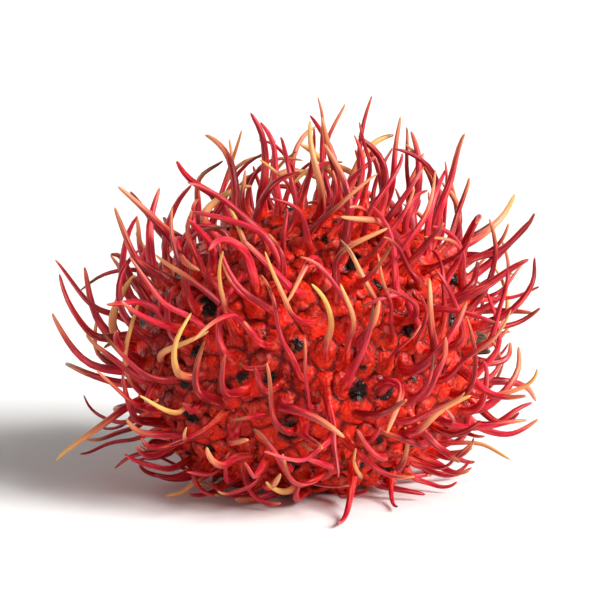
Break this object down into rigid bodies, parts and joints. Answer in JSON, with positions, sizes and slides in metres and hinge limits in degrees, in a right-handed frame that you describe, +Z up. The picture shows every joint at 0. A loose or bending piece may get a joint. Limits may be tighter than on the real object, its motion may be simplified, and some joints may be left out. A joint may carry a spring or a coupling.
{
  "type": "rambutan",
  "caption": "Ripe rambutan lying on its side: an ovoid red fruit covered with soft, curved, golden-tipped spines, with a short woody remnant of its stalk.",
  "frame": {"origin": "middle of the small flat spot that the fruit lies on, at the level of the surface below it", "axes": "+Z up, away from the surface that the fruit lies on; +X along the fruit's long axis, towards its stalk end; +Y across it"},
  "size_m": [0.0682, 0.0612, 0.053],
  "materials": {
    "rind": "satin",
    "stalk": "matte"
  },
  "bodies": {
    "root": {"fruit": "rind", "stalk_stub": "stalk"}
  },
  "joints": []
}
